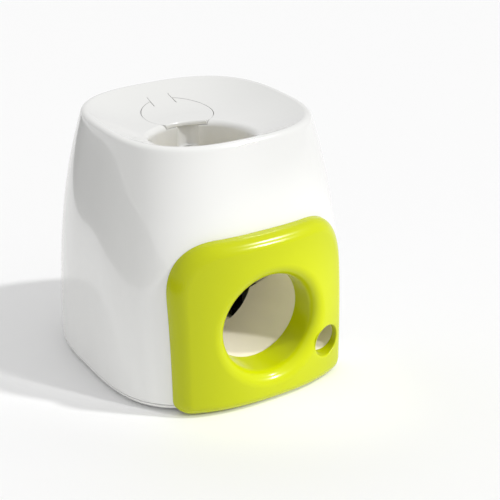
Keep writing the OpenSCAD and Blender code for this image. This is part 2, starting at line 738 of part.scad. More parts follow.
module paddle_wheel() {
    x0 = inlet_x - paddle_w / 2;
    color(grey) seated() difference() {
        union() {
            rod_x(7, x0 - 4, x0 + paddle_w + 4, axle_y, axle_z);
            for (a = [45:90:315])
                translate([0, axle_y, axle_z]) rotate([a, 0, 0]) {
                    block(x0, x0 + paddle_w, -paddle_t / 2, paddle_t / 2, 5, paddle_r - 1.8);
                    rod_x(1.8, x0, x0 + paddle_w, 0, paddle_r - 1.8);
                }
        }
        rod_x(axle_r + 0.02, x0 - 5, x0 + paddle_w + 5, axle_y, axle_z);
    }
}

module wheel_shaft() {
    color(steel) seated() rod_x(axle_r, bracket_x - 9, gear_x + gear_w + 3, axle_y, axle_z);
}

// Gear about X with its hub towards the frame; a tooth points at angle phase
module gear_x_axis(teeth, phase, bore, z) {
    r = gear_m * teeth / 2;
    step = 360 / teeth;
    tip = r + gear_m * 0.9;
    root = r - gear_m * 1.2;
    flank = [[-0.30, root], [-0.225, r], [-0.12, tip], [0.12, tip], [0.225, r], [0.30, root]];
    translate([gear_x, axle_y, z]) rotate([90, 0, 90]) difference() {
        union() {
            linear_extrude(gear_w) polygon(
                [for (k = [0:teeth - 1]) for (p = flank)
                    let (t = phase + step * (k + p[0])) [p[1] * cos(t), p[1] * sin(t)]]);
            cylinder(r = 6, h = gear_w + 1, $fn = fine);
        }
        translate([0, 0, -2]) cylinder(r = bore, h = gear_w + 6, $fn = fine);
    }
}

module drive_gear() {
    color(lime) seated() gear_x_axis(gear_teeth, 90, axle_r + 0.02, axle_z);
}

module idler_gear() {
    color(grey) seated() gear_x_axis(idler_teeth, 90 + 180 / idler_teeth, idler_pin() + run_clear, idler_z);
}

module drum_gear() {
    color(lime) seated() gear_x_axis(gear_teeth, 90, axle_r + 0.02, drum_z);
}

function idler_pin() = axle_r - 0.5;

module idler_axle() {
    color(steel) seated() {
        rod_x(idler_pin(), frame_x + 0.2, gear_x + gear_w + 1.4, axle_y, idler_z);
        rod_x(idler_pin() + 2, gear_x + gear_w + 1.3, gear_x + gear_w + 2.5, axle_y, idler_z);
    }
}

module gear_frame() {
    half = 15;
    color(acetal) seated() difference() {
        union() {
            block(frame_x, frame_x + plate_t, axle_y - half + 9, axle_y + half, floor_z, drum_z + 12);
            block(frame_x, frame_x + plate_t, axle_y - ear_half, axle_y + ear_half, drum_z - 5, drum_z + 5);
            block(frame_x - 12, frame_x + 1, axle_y - half, axle_y + half, floor_z, floor_z + 6);
        }
        for (z = [axle_z, drum_z]) rod_x(bush_r + 0.03, frame_x - 5, frame_x + plate_t + 1, axle_y, z);
        rod_x(idler_pin() + 0.02, frame_x - 5, frame_x + plate_t + 1, axle_y, idler_z);
        for (s = [-1, 1]) rod_x(screw_r + 0.3, frame_x - 1, frame_x + plate_t + 1, axle_y + s * ear_screw, drum_z);
        for (m = frame_feet) translate([m[0], m[1], 0]) cylinder(r = screw_r + 0.05, h = floor_z + 5.4, $fn = 24);
    }
}

module wheel_bracket() {
    color(acetal) seated() difference() {
        union() {
            block(bracket_x, bracket_x + plate_t, axle_y - 12, axle_y + 12, floor_z, axle_z + 10);
            block(bracket_x, bracket_x + plate_t, axle_y, pivot_y() + 6, axle_z, pivot_z() + 6);
            block(bracket_x - 13, bracket_x + 1, axle_y - 12, axle_y + 14, floor_z, floor_z + 6);
        }
        rod_x(bush_r + 0.03, bracket_x - 1, bracket_x + plate_t + 1, axle_y, axle_z);
        rod_x(pivot_r + 0.02, bracket_x - 1, bracket_x + plate_t + 1, pivot_y(), pivot_z());
        for (m = bracket_feet) translate([m[0], m[1], 0]) cylinder(r = screw_r + 0.05, h = floor_z + 5.4, $fn = 24);
    }
}

// Flanged bush along X with its flange on the side of dir
module bush(x, z, t, dir) {
    difference() {
        union() {
            rod_x(bush_r, x - (dir < 0 ? 0.1 : 0), x + t + (dir > 0 ? 0.1 : 0), axle_y, z);
            rod_x(bush_r + 1.6, dir > 0 ? x + t + 0.02 : x - 0.62, dir > 0 ? x + t + 0.62 : x - 0.02, axle_y, z);
        }
        rod_x(axle_r + run_clear, x - 3, x + t + 3, axle_y, z);
    }
}

module shaft_bushes() {
    color([0.80, 0.62, 0.32]) seated() {
        bush(bracket_x, axle_z, plate_t, 1);
        bush(frame_x, axle_z, plate_t, -1);
        bush(frame_x, drum_z, plate_t, 1);
        bush(cover_x0, drum_z, case_wall - 0.1, -1);
    }
}

// ---- index cam and lever ----

pivot_r = 2;
cam_r = 11;
cam_x1 = bracket_x - 2;
cam_x0 = cam_x1 - 4;
nose_r = 2.2;
lever_swing = 5;          // degrees from the cam's rim into a notch
function pivot_y() = axle_y + 18;
function pivot_z() = axle_z + 25;

module index_cam() {
    color(grey) seated() difference() {
        rod_x(cam_r, cam_x0, cam_x1, axle_y, axle_z);
        rod_x(axle_r + 0.02, cam_x0 - 1, cam_x1 + 1, axle_y, axle_z);
        for (a = [0:90:270])
            translate([0, axle_y, axle_z]) rotate([a, 0, 0])
                rod_x(nose_r + 0.35, cam_x0 - 1, cam_x1 + 1, cam_r + 0.3, 0);
    }
}

// Drawn with its nose in a notch, then turned back until the nose is clear of the cam's rim
module index_lever() {
    color(lime) seated() translate([0, pivot_y(), pivot_z()]) rotate([lever_swing, 0, 0])
        translate([0, -pivot_y(), -pivot_z()]) difference() {
        union() {
            hull() {
                rod_x(4.2, cam_x0, cam_x1, pivot_y(), pivot_z());
                rod_x(2.4, cam_x0, cam_x1, axle_y + cam_r + 4.2, axle_z + 1);
            }
            hull() {
                rod_x(2.2, cam_x0, cam_x1, axle_y + cam_r + 4, axle_z);
                rod_x(nose_r, cam_x0, cam_x1, axle_y + cam_r + 0.4, axle_z);
            }
        }
        rod_x(pivot_r + run_clear, cam_x0 - 1, cam_x1 + 1, pivot_y(), pivot_z());
    }
}

module index_pivot() {
    color(steel) seated() {
        rod_x(pivot_r, cam_x0 - 0.5, bracket_x + plate_t - 0.2, pivot_y(), pivot_z());
        rod_x(pivot_r + 1.5, cam_x0 - 1.5, cam_x0 - 0.4, pivot_y(), pivot_z());
    }
}

module index_spring() {
    wire = 0.4;
    color(steel) seated() {
        for (k = [0:1])
            translate([bracket_x - 0.55 - k * 0.7, pivot_y(), pivot_z()]) rotate([0, 90, 0])
                rotate_extrude($fn = 48) translate([pivot_r + 1, 0]) circle(r = wire, $fn = 16);
        translate([bracket_x - 0.55, pivot_y() + pivot_r + 1, pivot_z() - 12]) cylinder(r = wire, h = 12, $fn = 16);
        translate([bracket_x - 1.25, pivot_y() - pivot_r - 1, pivot_z() - 12]) cylinder(r = wire, h = 12, $fn = 16);
    }
}

module clip(x, y, z, r) {
    difference() {
        rod_x(r + 2.4, x, x + 0.8, y, z);
        rod_x(r + 0.02, x - 1, x + 2, y, z);
        block(x - 1, x + 2, y - 1.2, y + 1.2, z, z + 10);
    }
}

module shaft_clips() {
    color(steel) seated() {
        clip(cam_x0 - 1.2, axle_y, axle_z, axle_r);
        clip(gear_x + gear_w + 1.3, axle_y, axle_z, axle_r);
    }
}

module drum_clips() {
    color(steel) seated() {
        clip(cover_x0 - 2, axle_y, drum_z, axle_r);
        clip(gear_x + gear_w + 1.3, axle_y, drum_z, axle_r);
    }
}

// ---- screws and feet ----

module base_screws() {
    color(steel) seated() {
        corner_post() base_screw(14);
        for (m = concat(frame_feet, bracket_feet, chute_feet)) translate([m[0], m[1], 0]) base_screw(4);
    }
}

module base_screw(grip) {
    translate([0, 0, foot_h + 0.2]) cylinder(r = 2.8, h = 1.15, $fn = 32);
    translate([0, 0, foot_h + 0.3]) cylinder(r = screw_r, h = base_t + grip, $fn = 24);
}

module panel_screws() {
    color(steel) seated() for (m = panel_marks) {
        seat = -(body_y(m[0], m[1]) - wall - 5);
        rod_y(3, seat + 0.05, seat + 2, m[0], m[1]);
        rod_y(screw_r, -(panel_y(m[0], m[1]) - 3.4), seat + 0.1, m[0], m[1]);
    }
}

module hopper_screws() {
    color(steel) seated() for (m = hopper_marks) {
        translate([m[0], m[1], collar_z + 4.3]) cylinder(r = 2.6, h = 1.95, $fn = 32);
        translate([m[0], m[1], collar_z + 6]) cylinder(r = screw_r, h = 7, $fn = 24);
    }
}

module rubber_feet() {
    color(black) seated() for (m = foot_marks)
        translate([m[0], m[1], 0]) {
            cylinder(r1 = foot_r - 0.6, r2 = foot_r, h = 0.6, $fn = fine);
            translate([0, 0, 0.6]) cylinder(r = foot_r, h = foot_h + 0.1, $fn = fine);
        }
}

housing_shell();
inlet_collar();
base_plate();
front_panel();
drop_tube();
ball_chute();
treat_hopper();
treat_lid();
hinge_pin();
metering_case();
metering_cover();
treat_drum();
drum_shaft();
drum_gear();
treat_chute();
paddle_wheel();
wheel_shaft();
drive_gear();
idler_gear();
idler_axle();
gear_frame();
wheel_bracket();
shaft_bushes();
index_cam();
index_lever();
index_pivot();
index_spring();
shaft_clips();
drum_clips();
base_screws();
panel_screws();
hopper_screws();
cover_screws();
case_screws();
rubber_feet();
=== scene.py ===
import json
import math

import bpy
import numpy as np
from mathutils import Matrix


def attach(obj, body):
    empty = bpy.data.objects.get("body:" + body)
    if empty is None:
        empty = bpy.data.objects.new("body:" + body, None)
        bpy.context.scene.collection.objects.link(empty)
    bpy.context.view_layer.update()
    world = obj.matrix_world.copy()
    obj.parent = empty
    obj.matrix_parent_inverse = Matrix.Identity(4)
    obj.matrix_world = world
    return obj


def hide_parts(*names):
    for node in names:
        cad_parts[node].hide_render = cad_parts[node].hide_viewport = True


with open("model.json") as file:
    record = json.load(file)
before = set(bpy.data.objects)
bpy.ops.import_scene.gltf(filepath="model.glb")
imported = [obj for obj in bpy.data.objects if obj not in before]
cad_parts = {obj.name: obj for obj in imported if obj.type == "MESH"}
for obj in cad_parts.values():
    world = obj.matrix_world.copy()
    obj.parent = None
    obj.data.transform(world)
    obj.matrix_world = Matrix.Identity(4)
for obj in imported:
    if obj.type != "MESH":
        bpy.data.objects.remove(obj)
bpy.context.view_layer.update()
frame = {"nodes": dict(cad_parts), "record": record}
nodes = frame["nodes"]
print("frame loaded:", len(nodes), "nodes")

# Sizes are millimetres, with the housing's middle at x = y = 0 and its front towards -y.
yShift = 6.2                    # how far the housing's middle lies behind the shared frame's
farOut = 190.0                  # a height that is above everything
smoothAngle = 32                # edges that turn by more than this stay sharp
tiny = 1e-6                     # keeps a division from meeting nought


def toFrame(points):
    # metres in the shared frame: the shift is added to y, and all is divided by a thousand
    return (np.asarray(points, float) + np.array([0.0, yShift, 0.0])) * 0.001


def mix(a, b, share):
    # straight line from a, at share 0, to b, at share 1
    return a + (b - a) * share


def circle(count):
    # equal steps of one full turn, without its end
    return np.linspace(0, 2 * np.pi, count, endpoint=False)


def quarter(count):
    # equal steps from nought to a right angle, with both ends
    return np.radians(np.linspace(0, 90, count))


def superRadius(half, n, t):
    # radius of a superellipse: its half width over the n-th root of |cos|^n + |sin|^n
    return half / (np.abs(np.cos(t)) ** n + np.abs(np.sin(t)) ** n) ** (1 / n)


def frontOf(half, n, x):
    # how far a superellipse reaches forward at sideways place x
    return half * np.maximum(0, 1 - np.minimum(1, np.abs(x) / half) ** n) ** (1 / n)


def ringOf(x, y, z):
    # one ring of points, where a single number stands for the whole ring
    x, y, z = np.broadcast_arrays(x, y, z)
    return np.stack([x, y, z], axis=-1).astype(float)


def gridFaces(rows, cols, closeRows, flip):
    # quads of two neighbours in a ring and the same two in the next; rings close on themselves
    last = rows if closeRows else rows - 1
    k, i = np.meshgrid(np.arange(last), np.arange(cols), indexing="ij")
    nextK, nextI = (k + 1) % rows, (i + 1) % cols
    quads = np.stack([k * cols + i, k * cols + nextI, nextK * cols + nextI, nextK * cols + i],
                     axis=-1).reshape(-1, 4)
    return quads[:, ::-1] if flip else quads


def ringMesh(rings, closed=True, flip=False):
    # skin over rings. Where the last ring doesn't go on to the first, each of the two gets a fan
    # of triangles to its middle.
    rings = np.asarray(rings)
    rows, cols = rings.shape[:2]
    points, faces = rings.reshape(-1, 3), [gridFaces(rows, cols, closed, flip)]
    if not closed:
        middle, last = rows * cols, (rows - 1) * cols
        points = np.concatenate([points, np.stack([rings[0].mean(axis=0), rings[-1].mean(axis=0)])])
        i = np.arange(cols)
        j = (i + 1) % cols
        low = np.stack([j, i, np.full(cols, middle)], axis=-1)
        high = np.stack([last + i, last + j, np.full(cols, middle + 1)], axis=-1)
        fans = np.stack([low, high], axis=1).reshape(-1, 3)
        faces.append(fans[:, ::-1] if flip else fans)
    return points, faces


def smooth(obj, angle):
    # smooth shading, except across edges sharper than the angle
    obj.data.shade_smooth()
    obj.data.set_sharp_from_angle(angle=math.radians(angle))


def addMesh(name, skins, angle=smoothAngle):
    # one object from several skins, each one's faces numbered on from the points before it
    faces, start = [], 0
    for points, blocks in skins:
        for block in blocks:
            faces += (block + start).tolist()
        start += len(points)
    mesh = bpy.data.meshes.new(name)
    mesh.from_pydata(toFrame(np.concatenate([points for points, blocks in skins])).tolist(), [], faces)
    mesh.validate()
    mesh.update()
    obj = bpy.data.objects.new(name, mesh)
    bpy.context.scene.collection.objects.link(obj)
    smooth(obj, angle)
    return obj


def carve(obj, skins, angle=smoothAngle):
    # takes one skin's solid after another out of the object and keeps the result as its mesh
    for skin in skins:
        cutter = addMesh("cutter", [skin])
        mod = obj.modifiers.new("cut", "BOOLEAN")
        mod.operation, mod.solver, mod.object = "DIFFERENCE", "EXACT", cutter
        bpy.context.view_layer.update()
        deps = bpy.context.evaluated_depsgraph_get()
        mesh = bpy.data.meshes.new_from_object(obj.evaluated_get(deps))
        obj.modifiers.clear()
        old, obj.data = obj.data, mesh
        bpy.data.meshes.remove(old)
        bpy.data.objects.remove(cutter)
    obj.data.name = obj.name
    smooth(obj, angle)


def rod(start, end, radius, around=96):
    # closed cylinder between two points: circles of two directions square to its axis, the first
    # of them also square to z, or to x where the axis is nearly upright
    start, end = np.array(start, float), np.array(end, float)
    axis = (end - start) / np.linalg.norm(end - start)
    side = np.cross(axis, [0.0, 0.0, 1.0] if abs(axis[2]) < 0.9 else [1.0, 0.0, 0.0])
    side /= np.linalg.norm(side)
    other = np.cross(axis, side)
    t = circle(around)[:, None]
    ring = radius * (np.cos(t) * side + np.sin(t) * other)
    return ringMesh([start + ring, end + ring], closed=False)


def turned(x, y, profile, around):
    # rings about an upright line, one for each radius and height of the profile
    t = circle(around)
    return [ringOf(x + r * np.cos(t), y + r * np.sin(t), z) for r, z in profile]


def upright(x, y, low, high):
    # closed block over an outline seen from above
    return ringMesh([ringOf(x, y, low), ringOf(x, y, high)], closed=False)


def sideways(y, z, half):
    # closed block over an outline seen from the side, as far to the left as to the right
    return ringMesh([ringOf(-half, y, z), ringOf(half, y, z)], closed=False)


housing = dict(
    height=180.0, baseHalf=91.5, rimHalf=72.4,      # half widths at the foot and at the rim
    lean=2.74,                                      # power by which the walls lean in
    footSquare=3.2, rimSquare=2.76,                 # squareness of the plan at foot and rim
    wall=2.6, foot=6.2, around=360,
    footEdge=[(0.0, 0.5), (0.15, 0.15), (0.5, 0.0)],        # height above the foot, and inset
    wallLow=8.0, wallTop=168.0,                     # first level of the outside, last of the inside
    rimRound=3.6, rimLevel=0.985, rimFall=26.0,     # rim: radius, share of the height, inner slope
    wallRings=84, rimRings=18, insideRings=34)
dish = dict(floor=169.0, run=43.6, wall=3.0, underInset=0.6, rings=70, underRings=26)
inlet = dict(x=-10.0, y=-26.0, radius=35.0, lip=4.5, collarFoot=150.0, collarTop=163.0, tube=1.8,
             lipRings=16)
window = dict(front=-100.0, back=-70.0, grow=4.2, treatRise=1.3, treatRadius=15.0)   # behind the panel
recess = dict(x=-3.5, y=1.2, radius=10.0, floor=150.6, wall=1.6, round=1.5, roundIn=0.45, over=0.5,
              boreGap=0.6, boreLow=140.0, around=120, boreAround=240)


def halfAt(z):
    # half width of the housing: the foot's, less what the rim is narrower times a power of height
    h = housing
    return h["baseHalf"] - (h["baseHalf"] - h["rimHalf"]) * (np.maximum(z, 0) / h["height"]) ** h["lean"]


def squareAt(z):
    # squareness of the plan, in a straight line from foot to rim
    return mix(housing["footSquare"], housing["rimSquare"], np.asarray(z) / housing["height"])


def bodyY(x, z):
    # how far the housing reaches forward at a place of its front
    return frontOf(halfAt(z), squareAt(z), x)


# The rim is an arc from the wall's lean over the ridge to the dish's first slope. The lean is the
# slope of halfAt at the rim's level.
rimTilt = math.atan((housing["baseHalf"] - housing["rimHalf"]) * housing["lean"] / housing["height"]
                    * housing["rimLevel"] ** (housing["lean"] - 1))
rimFall = math.radians(housing["rimFall"])
rimStart = housing["height"] - housing["rimRound"] * (1 - math.sin(rimTilt))
ridge = float(halfAt(rimStart)) - housing["rimRound"] * math.cos(rimTilt)
dishHalf = ridge - housing["rimRound"] * math.sin(rimFall)
dishTop = housing["height"] - housing["rimRound"] * (1 - math.cos(rimFall))


def dishZ(x, y):
    # height of the dish: a parabola that falls from just inside the rim to a level floor
    n = housing["rimSquare"]
    rho = (np.abs(x) ** n + np.abs(y) ** n) ** (1 / n)
    u = np.clip((dishHalf - rho) / dish["run"], 0, 1)
    return dishTop - (dishTop - dish["floor"]) * (1 - (1 - u) ** 2)


def housingRings():
    # up the outside, over the rim, down the dish into the inlet, and back under the dish and
    # down the inside to the foot
    h, p = housing, inlet
    t = circle(h["around"])
    c, s = np.cos(t), np.sin(t)
    n = h["rimSquare"]

    def wallRing(z, inset):
        # superellipse of the wall at a height, set in
        r = superRadius(halfAt(z) - inset, squareAt(z), t)
        return ringOf(r * c, r * s, z)

    def dishRing(half, radius, share, drop):
        # between the rim's superellipse and a circle round the inlet, below the dish by the drop
        q = superRadius(half, n, t)
        x = mix(q * c, p["x"] + radius * c, share)
        y = mix(q * s, p["y"] + radius * s, share)
        return ringOf(x, y, dishZ(x, y) - drop)

    rings = [wallRing(h["foot"] + up, inset) for up, inset in h["footEdge"]]
    rings += [wallRing(z, 0) for z in np.linspace(h["wallLow"], rimStart, h["wallRings"])]
    for a in np.linspace(rimTilt, math.pi / 2 + rimFall, h["rimRings"])[1:]:
        r = superRadius(ridge + h["rimRound"] * math.cos(a), n, t)
        rings.append(ringOf(r * c, r * s, h["height"] - h["rimRound"] * (1 - math.sin(a))))
    outer, lip = p["radius"] + p["lip"], p["lip"]
    rings += [dishRing(dishHalf, outer, share, 0) for share in np.linspace(0, 1, dish["rings"])[1:]]
    rings += [dishRing(dishHalf, outer - lip * math.sin(a), 1, lip * (1 - math.cos(a)))
              for a in quarter(p["lipRings"])[1:]]
    low, out = rings[-1], p["radius"] + p["tube"]
    rings.append(ringOf(low[:, 0], low[:, 1], p["collarTop"]))
    rings.append(ringOf(p["x"] + out * c, p["y"] + out * s, p["collarTop"]))
    rings += [dishRing(dishHalf - dish["underInset"], out, share, dish["wall"])
              for share in np.linspace(1, 0, dish["underRings"])]
    rings += [wallRing(z, h["wall"]) for z in np.linspace(h["wallTop"], h["foot"], h["insideRings"])]
    return rings


def recessBore():
    # the room for a fingertip beside the lid
    r = recess
    return rod((r["x"], r["y"], r["floor"]), (r["x"], r["y"], seatZ + r["over"]), r["radius"])


def makeShell():
    # the housing's skin, less the lid's seat, the round that the lid's tab swings in, the room
    # behind the panel's two outlets, and the finger recess
    p, w = lid, window
    obj = addMesh("housingBody", [ringMesh(housingRings())])
    t, r = lidOutline(p["gap"], 0, p["seatAround"])
    half, outletZ, treatZ = p["tabHalf"] + p["gap"], panel["outletZ"], treat["z"] + w["treatRise"]
    carve(obj, [
        upright(r * np.cos(t), p["y"] + r * np.sin(t), seatZ, p["seatTop"]),
        rod((-half, p["hingeY"], p["hingeZ"]), (half, p["hingeY"], p["hingeZ"]), tabSwing + p["swingGap"]),
        rod((0, w["front"], outletZ), (0, w["back"], outletZ), panel["outletRadius"] + w["grow"]),
        rod((treat["x"], w["front"], treatZ), (treat["x"], w["back"], treatZ), w["treatRadius"]),
        recessBore()])
    return obj


def makeScoop():
    # wall and floor of the finger recess, open towards the inlet
    r = recess
    wide, floor = r["radius"] + r["wall"], r["floor"]
    profile = [(wide, floor - r["wall"]), (wide, seatZ), (r["radius"], seatZ),
               (r["radius"], floor + r["round"]), (r["radius"] - r["roundIn"], floor + r["roundIn"]),
               (r["radius"] - r["round"], floor)]
    obj = addMesh("scoop", [ringMesh(turned(r["x"], r["y"], profile, r["around"]), closed=False)])
    carve(obj, [rod((inlet["x"], inlet["y"], r["boreLow"]), (inlet["x"], inlet["y"], farOut),
                    inlet["radius"] + r["boreGap"], r["boreAround"])])
    return obj


def makeCollar():
    # short tube that goes on where the shell's throat ends, less the finger recess
    q = inlet
    wide = q["radius"] + q["tube"]
    profile = [(q["radius"], q["collarTop"]), (q["radius"], q["collarFoot"]),
               (wide, q["collarFoot"]), (wide, q["collarTop"])]
    obj = addMesh("inletCollar", [ringMesh(turned(q["x"], q["y"], profile, housing["around"]))])
    carve(obj, [recessBore()])
    return obj


lid = dict(
    y=26.0, radius=25.4, thick=3.0, gap=0.4, seatGap=0.3, seatTop=200.0, inletGap=0.3,
    tabHalf=8.4, tabBack=1.5, hingeY=54.0, hingeZ=171.832, swingGap=0.3,
    edge=0.35, inletEdge=1.6, inletNear=1.0,        # edge radius, the wider one at the inlet, its reach
    edgeSteps=[20, 40, 60, 75, 90], hub=0.02, topRings=40, underRings=12,
    slitStart=43.0, slitEnd=60.0, slitHalf=0.35, slitLow=150.0,
    endFrom=-0.2, endTo=1.9,                        # turn of the tab's round end, in radians
    endFar=16.0, endHalf=12.0, endSteps=40,         # what is cut off behind it
    pinRadius=0.8, pinWall=0.75, pinGap=0.05, knuckleEdge=0.2, knuckleAround=48,
    seatAround=420, around=720)
seatZ = dish["floor"] - lid["thick"] - lid["seatGap"]
tabSwing = math.hypot(float(dishZ(0, lid["hingeY"])) - lid["hingeZ"], lid["tabBack"])


def lidOutline(grow, back, count):
    # distance of the lid's edge from its middle, seen from above, as the farther of disc and tab
    p = lid
    t = circle(count)
    c, s = np.cos(t), np.sin(t)
    disc, half = np.full(count, p["radius"] + grow), p["tabHalf"] + grow
    side = half / np.maximum(np.abs(c), tiny)
    end = (p["hingeY"] + back - p["y"]) / np.maximum(s, tiny)
    tab = np.where(s > 0, np.minimum(side, end), 0)
    return t, np.maximum(disc, np.where(np.abs(c) * disc < half, tab, 0))


def makeLid():
    # rays from the disc's middle to the outline, or to the inlet's circle where that is nearer: out
    # along the dish, over a rounded edge, and back underneath
    p, q = lid, inlet
    t, r = lidOutline(0, p["tabBack"] + p["gap"], p["around"])
    c, s = np.cos(t), np.sin(t)
    # the nearer root of the quadratic for a ray and the inlet's circle
    dx, dy, radius = -q["x"], p["y"] - q["y"], q["radius"] + p["inletGap"]
    b = dx * c + dy * s
    underRoot = b * b - (dx * dx + dy * dy - radius * radius)
    hit = np.where((underRoot > 0) & (b < 0), -b - np.sqrt(np.maximum(underRoot, 0)), np.inf)
    r = np.minimum(r, hit)
    edge = np.where(hit < p["radius"] + p["inletNear"], p["inletEdge"], p["edge"])

    def lidRing(reach, drop):
        # at a distance from the disc's middle, below the dish by the drop
        x, y = reach * c, p["y"] + reach * s
        return ringOf(x, y, dishZ(x, y) - drop)

    rings = [lidRing((r - edge) * share, 0) for share in np.linspace(p["hub"], 1, p["topRings"])]
    rings += [lidRing(r - edge * (1 - math.sin(a)), edge * (1 - math.cos(a)))
              for a in np.radians(p["edgeSteps"])]
    rings.append(lidRing(r, p["thick"]))
    rings += [lidRing(r * share, p["thick"])
              for share in np.linspace(1 - p["hub"], p["hub"], p["underRings"])]
    obj = addMesh("treatLid", [ringMesh(rings, closed=False)])

    # the tab's end follows the circle that it swings in, and a slit frees the tab on each side
    u = np.linspace(p["endFrom"], p["endTo"], p["endSteps"])
    y, z = [np.concatenate([at + tabSwing * turn, (at + p["endFar"] * turn)[::-1]])
            for at, turn in ((p["hingeY"], np.cos(u)), (p["hingeZ"], np.sin(u)))]
    cuts = [sideways(y, z, p["endHalf"])]
    for side in (-1, 1):
        middle = side * (p["tabHalf"] + p["gap"])
        x = middle + p["slitHalf"] * np.array([-1, 1, 1, -1])
        y = np.array([p["slitStart"], p["slitStart"], p["slitEnd"], p["slitEnd"]])
        cuts.append(upright(x, y, p["slitLow"], farOut))
    carve(obj, cuts)
    return obj


def makeKnuckle():
    # tube round the pin, within the tab's width: circles about the hinge line
    p = lid
    u = circle(p["knuckleAround"])
    outer, bore, end = p["pinRadius"] + p["pinWall"], p["pinRadius"] + p["pinGap"], p["tabHalf"] - p["pinGap"]
    left = [(-end, bore), (-end, outer - p["knuckleEdge"]), (p["knuckleEdge"] - end, outer)]
    right = [(-x, radius) for x, radius in reversed(left)]
    rings = [ringOf(x, p["hingeY"] + radius * np.cos(u), p["hingeZ"] + radius * np.sin(u))
             for x, radius in left + right]
    return addMesh("lidKnuckle", [ringMesh(rings)])


base = dict(
    under=1.5, over=4.0, flats=[-88.5, -50.0, -20.0],       # levels, and insets of their flat rings
    profile=[(-6.2, 1.5), (-5, 1.55), (-3.9, 1.75), (-2.9, 2.1), (-2.0, 2.65), (-1.3, 3.3), (-0.75, 4.1),
             (-0.4, 4.9), (-0.25, 5.5), (-0.6, 5.8), (-2.9, 5.8), (-2.9, 8.0), (-3.1, 8.2), (-4.7, 8.2),
             (-4.9, 8.0), (-4.9, 4.4), (-5.3, 4.0)],        # inset from the foot's outline, and height
    feet=[(-50, -58), (50, -58), (-50, 58), (50, 58)], footRadius=8.2, footDepth=2.4,
    screws=[(-62, -62), (-62, 62), (62, -62), (62, 62), (42, 36), (42, 22), (-40, 36), (-40, 22),
            (-24, -44), (8, -44)],
    headRadius=3.2, headDepth=2.9, headAround=48,
    holeRadius=1.6, holeLow=2.5, holeHigh=20.0, holeAround=32)


def makeBase():
    # superellipses of the foot's outline, from the middle of the underside round the rounded edge,
    # the groove and the inner rim to the middle of the floor, less the feet's seats and the holes
    p, h = base, housing
    t = circle(h["around"])
    rings = []
    for inset, z in ([(flat, p["under"]) for flat in p["flats"]] + p["profile"]
                     + [(flat, p["over"]) for flat in reversed(p["flats"])]):
        r = superRadius(h["baseHalf"] + inset, h["footSquare"], t)
        rings.append(ringOf(r * np.cos(t), r * np.sin(t), z))
    obj = addMesh("basePlate", [ringMesh(rings, closed=False)])
    cuts = [rod((x, y, 0), (x, y, p["footDepth"]), p["footRadius"]) for x, y in p["feet"]]
    for x, y in p["screws"]:
        cuts.append(rod((x, y, 0), (x, y, p["headDepth"]), p["headRadius"], p["headAround"]))
        cuts.append(rod((x, y, p["holeLow"]), (x, y, p["holeHigh"]), p["holeRadius"], p["holeAround"]))
    carve(obj, cuts)
    return obj


panel = dict(
    half=66.3, top=121.0, foot=0.8, cornerWide=34.0, cornerHigh=40.0, cornerSquare=2.4, footCorner=9.0,
    proud=12.4, square=2.46, edge=8.0, wall=3.0, gap=0.2,
    outletZ=57.0, outletRadius=34.5, lip=10.0, taper=0.3,
    collarEnd=75.0, collarWall=1.5, collarFront=88.5,       # how far forward the collar lies
    backInset=0.5, backLip=1.0, backEdge=1.5,               # the inner skin's distance from the outer
    edgeRings=22, faceRings=44, lipRings=26, boreRings=10, backRings=12, angle=40,
    cornerSteps=61, sideSteps=40, topSteps=30, footCornerSteps=16, footSteps=60)
treat = dict(x=46.0, z=31.0, radius=11.2, lip=1.2, lipRings=10, around=160,
             collar=2.0, collarDrop=2.2, cutFront=-120.0, cutBack=-80.0)


def panelY(x, z):
    # how far the panel's face reaches forward: the housing's half width and more, and squarer
    return frontOf(halfAt(z) + panel["proud"], panel["square"], x)


def panelOutline(e):
    # the panel's edge set in by e: straight sides, superellipses as top corners, and quarter
    # circles as lower ones
    p = panel
    half, wide, high, n = p["half"], p["cornerWide"], p["cornerHigh"], p["cornerSquare"]
    foot, footHalf, topHalf = p["foot"] + p["footCorner"], p["half"] - p["footCorner"], half - wide
    a, f = quarter(p["cornerSteps"]), quarter(p["footCornerSteps"])
    q = (np.cos(a) ** n + np.sin(a) ** n) ** (1 / n)
    topX, topZ = topHalf + (wide - e) * np.cos(a) / q, p["top"] - high + (high - e) * np.sin(a) / q
    footX = footHalf + (p["footCorner"] - e) * np.cos(f)
    footZ = foot - (p["footCorner"] - e) * np.sin(f)
    sideZ = np.linspace(foot, p["top"] - high, p["sideSteps"])[:-1]
    topRow = np.linspace(1, -1, p["topSteps"])[1:-1] * topHalf
    footRow = np.linspace(-1, 1, p["footSteps"])[1:-1] * footHalf
    side, over, below = [np.ones(len(row)) for row in (sideZ, topRow, footRow)]
    x = np.concatenate([side * (half - e), topX, topRow, -topX[::-1], side * -(half - e),
                        -footX, footRow, footX[::-1][:-1]])
    z = np.concatenate([sideZ, topZ, over * (p["top"] - e), topZ[::-1], sideZ[::-1],
                        footZ, below * (p["foot"] + e), footZ[::-1][:-1]])
    return x, z


